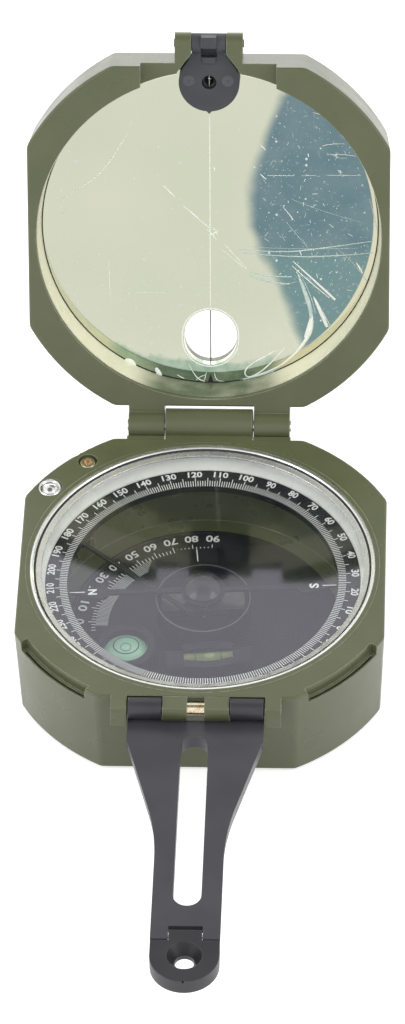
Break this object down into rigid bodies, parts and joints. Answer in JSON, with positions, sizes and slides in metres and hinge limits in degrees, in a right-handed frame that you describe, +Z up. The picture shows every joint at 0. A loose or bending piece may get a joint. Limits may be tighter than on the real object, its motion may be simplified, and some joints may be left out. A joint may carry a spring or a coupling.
{
  "type": "pocket transit inclinometer",
  "caption": "Folding pocket transit: a magnetic compass and clinometer in an olive case, with a mirrored lid, a slotted sight arm and two flip-up sights.",
  "frame": {"origin": "middle of the base's flat underside, below the needle's pivot", "axes": "+Z up out of the dial, +Y from the sight arm towards the lid's hinge, +X right"},
  "size_m": [0.073, 0.1857, 0.0962],
  "materials": {
    "olive_paint": "semi-matt olive green paint on die-cast metal",
    "black_paint": "satin black paint on die-cast metal",
    "chrome": "polished",
    "steel": "fine brushed",
    "aluminium": "satin",
    "brass": "satin",
    "mirror": "silvered glass",
    "clear_glass": "clear",
    "vial_green": "yellow-green spirit vial",
    "dial_black": "matt black",
    "cream_plastic": "pale cream",
    "gasket_rubber": "black seal",
    "liner_metal": "bright satin, warm",
    "jewel": "red jewel",
    "magnet": "bare magnet alloy"
  },
  "bodies": {
    "base": {"base_case": "olive_paint", "dial_plate": "dial_black", "reflector_ring": "cream_plastic", "cover_glass": "clear_glass", "glass_gasket": "gasket_rubber", "bezel_ring": "chrome", "round_level_housing": "dial_black", "round_level_vial": "vial_green", "shaft_bush": "brass", "screw_bush": "brass", "lock_pin_sleeve": "chrome", "lock_lever_pin": "steel", "brass_set_screw": "brass", "front_hinge_pin": "brass", "rear_hinge_pin": "steel"},
    "lock_button": {"lock_button": "chrome", "lock_spring": "steel"},
    "lock_lever": {"lock_lever": "steel"},
    "lift_ring": {"lift_ring": "brass"},
    "needle": {"needle_bar": "aluminium", "needle_cap": "brass", "needle_jewel": "jewel", "needle_magnet": "magnet"},
    "clinometer": {"clinometer_shaft": "brass", "clinometer_arm": "aluminium", "level_housing": "dial_black", "tube_level_vial": "vial_green", "damping_cup": "aluminium", "needle_pivot": "steel", "friction_washer": "steel", "clinometer_lever": "brass", "lever_screw": "steel"},
    "azimuth_ring": {"azimuth_ring": "dial_black"},
    "azimuth_screw": {"azimuth_screw": "brass", "azimuth_pinion": "brass"},
    "lid": {"lid_shell": "olive_paint", "mirror": "mirror", "mirror_ring": "liner_metal", "sight_pin": "steel"},
    "front_sight": {"front_sight": "black_paint", "sight_hair": "steel"},
    "sight_arm": {"sight_arm": "black_paint", "peep_pin": "steel"},
    "peep_leaf": {"peep_leaf": "black_paint"}
  },
  "joints": [
    {"name": "lid_hinge", "type": "hinge", "parent": "base", "child": "lid", "pos_m": [0, 0.0404, 0.0209], "axis": [1, 0, 0], "range_deg": [-68.73, 111.27]},
    {"name": "front_sight_hinge", "type": "hinge", "parent": "lid", "child": "front_sight", "pos_m": [0, 0.07471, 0.0936], "axis": [1, 0, 0], "range_deg": [-180, 0]},
    {"name": "sight_arm_hinge", "type": "hinge", "parent": "base", "child": "sight_arm", "pos_m": [0, -0.038, 0.0194], "axis": [-1, 0, 0], "range_deg": [0, 180]},
    {"name": "peep_hinge", "type": "hinge", "parent": "sight_arm", "child": "peep_leaf", "pos_m": [0, -0.0948, 0.0167], "axis": [1, 0, 0], "range_deg": [-90, 0]},
    {"name": "clinometer_turn", "type": "hinge", "parent": "base", "child": "clinometer", "pos_m": [0, 0, 0], "axis": [0, 0, 1], "range_deg": [-7.5, 82.5]},
    {"name": "azimuth_screw_turn", "type": "hinge", "parent": "base", "child": "azimuth_screw", "pos_m": [0.0361, 0, 0.0115], "axis": [1, 0, 0], "continuous": true},
    {"name": "azimuth_ring_turn", "type": "hinge", "parent": "base", "child": "azimuth_ring", "pos_m": [0, 0, 0.0158], "axis": [0, 0, 1], "continuous": true},
    {"name": "lock_press", "type": "slide", "parent": "base", "child": "lock_button", "axis": [0, 0, -1], "range_m": [0, 0.0006], "stiffness_N_per_m": 900, "springref_m": -0.0004},
    {"name": "lock_lever_rock", "type": "hinge", "parent": "base", "child": "lock_lever", "pos_m": [-0.0251, 0.0147, 0.0124], "axis": [0.6494, 0.7604, 0], "range_deg": [-3.61, 0]},
    {"name": "needle_lift", "type": "slide", "parent": "base", "child": "lift_ring", "axis": [0, 0, 1], "range_m": [0, 0.0019]},
    {"name": "needle_turn", "type": "hinge", "parent": "lift_ring", "child": "needle", "pos_m": [0, 0, 0.0145], "axis": [0, 0, 1], "continuous": true}
  ],
  "couplings": [
    {"joint": "azimuth_screw_turn", "follows": "azimuth_ring_turn", "ratio": -10},
    {"joint": "lock_lever_rock", "follows": "lock_press", "rad_per_m": -104.6},
    {"joint": "needle_lift", "follows": "lock_press", "ratio": 3.1667}
  ]
}
